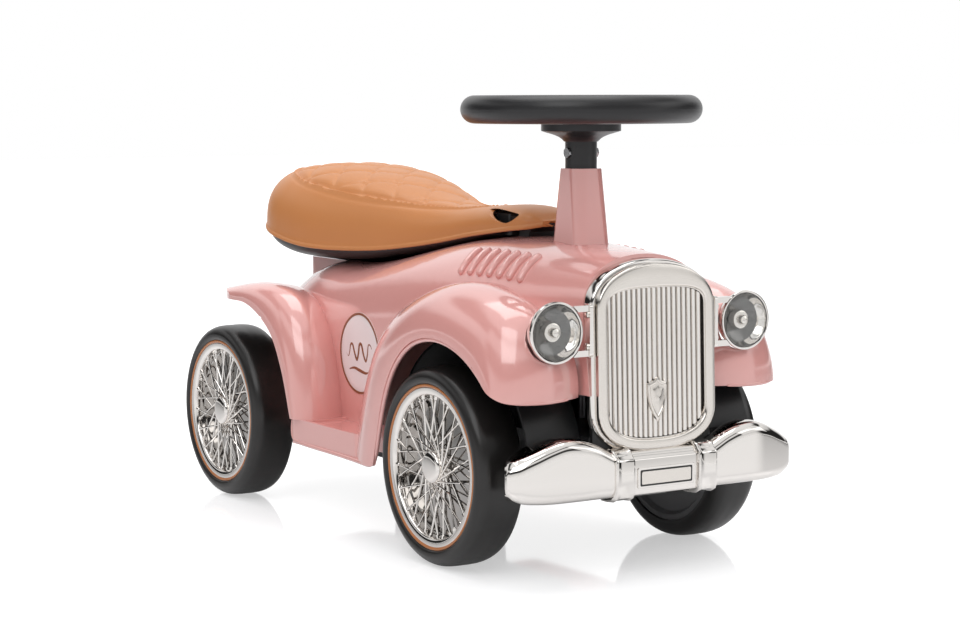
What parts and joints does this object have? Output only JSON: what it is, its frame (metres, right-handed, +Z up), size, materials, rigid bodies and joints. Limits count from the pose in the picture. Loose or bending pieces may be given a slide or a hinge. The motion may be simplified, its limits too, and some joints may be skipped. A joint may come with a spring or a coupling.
{
  "type": "ride-on toy car",
  "caption": "Foot-to-floor ride-on roadster: lofted body, flared fenders, wire-spoke wheels that steer through a link, chrome grille and bumper, seat that tips up over a bin",
  "frame": {"origin": "on the floor, in the middle of the object's length and width", "axes": "+Z up, -Y is the nose, +X is the left side of the driver"},
  "size_m": [0.287, 0.6235, 0.39],
  "materials": {
    "body_paint": "smooth glossy pastel pink",
    "fender_paint": "smooth glossy pastel pink",
    "black_plastic": "moulded black, satin",
    "grey_plastic": "moulded grey, satin",
    "steering_black": "black, satin gloss",
    "horn_plastic": "smooth ivory button",
    "seat_plastic": "moulded tan, leather look",
    "chrome_plating": "bright plated",
    "steel": "zinc plated steel",
    "tyre_rubber": "smooth black rubber",
    "ring_copper": "orange brown ring",
    "lens_clear": "clear lens",
    "bulb_chrome": "plated bulb dummy"
  },
  "bodies": {
    "body": {"body_shell": "body_paint", "steering_cowl": "body_paint", "chassis_pan": "black_plastic", "front_beam": "black_plastic", "kingpins": "steel", "rear_axle": "steel", "axle_spacers": "steel", "storage_bin": "black_plastic", "seat_hinge_block": "black_plastic", "grille_surround": "chrome_plating", "grille_bars": "chrome_plating", "grille_ornament": "chrome_plating", "bumper": "chrome_plating", "bumper_plate": "chrome_plating", "front_fender_left": "fender_paint", "rear_fender_left": "fender_paint", "wheel_liner_left": "black_plastic", "headlamp_shell_left": "chrome_plating", "headlamp_lens_left": "lens_clear", "headlamp_reflector_left": "chrome_plating", "headlamp_bulb_left": "bulb_chrome", "headlamp_bracket_left": "chrome_plating", "front_fender_right": "fender_paint", "rear_fender_right": "fender_paint", "wheel_liner_right": "black_plastic", "headlamp_shell_right": "chrome_plating", "headlamp_lens_right": "lens_clear", "headlamp_reflector_right": "chrome_plating", "headlamp_bulb_right": "bulb_chrome", "headlamp_bracket_right": "chrome_plating"},
    "steering": {"steering_wheel": "steering_black", "steering_column": "steering_black", "steering_shaft": "steel", "clamp_screw": "steel"},
    "horn": {"horn_button": "horn_plastic"},
    "music_left": {"music_button_left": "horn_plastic"},
    "music_right": {"music_button_right": "horn_plastic"},
    "link": {"tie_rod": "black_plastic"},
    "steer_left": {"knuckle_left": "black_plastic"},
    "steer_right": {"knuckle_right": "black_plastic"},
    "seat": {"seat_shell": "seat_plastic", "seat_tray": "black_plastic", "seat_hinge_pin": "steel"},
    "wheel_front_left": {"tyre_front_left": "tyre_rubber", "trim_ring_front_left": "ring_copper", "wheel_cover_front_left": "chrome_plating", "wheel_core_front_left": "grey_plastic"},
    "wheel_front_right": {"tyre_front_right": "tyre_rubber", "trim_ring_front_right": "ring_copper", "wheel_cover_front_right": "chrome_plating", "wheel_core_front_right": "grey_plastic"},
    "wheel_rear_left": {"tyre_rear_left": "tyre_rubber", "trim_ring_rear_left": "ring_copper", "wheel_cover_rear_left": "chrome_plating", "wheel_core_rear_left": "grey_plastic"},
    "wheel_rear_right": {"tyre_rear_right": "tyre_rubber", "trim_ring_rear_right": "ring_copper", "wheel_cover_rear_right": "chrome_plating", "wheel_core_rear_right": "grey_plastic"}
  },
  "joints": [
    {"name": "steering_turn", "type": "hinge", "parent": "body", "child": "steering", "pos_m": [0, -0.1875, 0.3], "axis": [0, 0, 1], "range_deg": [-20, 20]},
    {"name": "horn_press", "type": "slide", "parent": "steering", "child": "horn", "axis": [0, 0, -1], "range_m": [0, 0.0025], "stiffness_N_per_m": 600},
    {"name": "music_left_press", "type": "slide", "parent": "steering", "child": "music_left", "axis": [0, 0, -1], "range_m": [0, 0.0025], "stiffness_N_per_m": 400},
    {"name": "music_right_press", "type": "slide", "parent": "steering", "child": "music_right", "axis": [0, 0, -1], "range_m": [0, 0.0025], "stiffness_N_per_m": 400},
    {"name": "link_pivot", "type": "hinge", "parent": "steering", "child": "link", "pos_m": [0, -0.1525, 0.0793], "axis": [0, 0, 1], "range_deg": [-20, 20]},
    {"name": "kingpin_left", "type": "hinge", "parent": "body", "child": "steer_left", "pos_m": [0.088, -0.1725, 0.0835], "axis": [0, 0, 1], "range_deg": [-20, 20]},
    {"name": "kingpin_right", "type": "hinge", "parent": "body", "child": "steer_right", "pos_m": [-0.088, -0.1725, 0.0835], "axis": [0, 0, 1], "range_deg": [-20, 20]},
    {"name": "roll_front_left", "type": "hinge", "parent": "steer_left", "child": "wheel_front_left", "pos_m": [0.12, -0.1725, 0.0835], "axis": [1, 0, 0], "continuous": true},
    {"name": "roll_front_right", "type": "hinge", "parent": "steer_right", "child": "wheel_front_right", "pos_m": [-0.12, -0.1725, 0.0835], "axis": [1, 0, 0], "continuous": true},
    {"name": "roll_rear_left", "type": "hinge", "parent": "body", "child": "wheel_rear_left", "pos_m": [0.12, 0.2285, 0.0835], "axis": [1, 0, 0], "continuous": true},
    {"name": "roll_rear_right", "type": "hinge", "parent": "body", "child": "wheel_rear_right", "pos_m": [-0.12, 0.2285, 0.0835], "axis": [1, 0, 0], "continuous": true},
    {"name": "seat_hinge", "type": "hinge", "parent": "body", "child": "seat", "pos_m": [0, -0.138, 0.2815], "axis": [1, 0, 0], "range_deg": [0, 50]}
  ],
  "couplings": [
    {"joint": "link_pivot", "follows": "steering_turn", "ratio": -1},
    {"joint": "kingpin_left", "follows": "steering_turn", "ratio": 1},
    {"joint": "kingpin_right", "follows": "steering_turn", "ratio": 1}
  ]
}
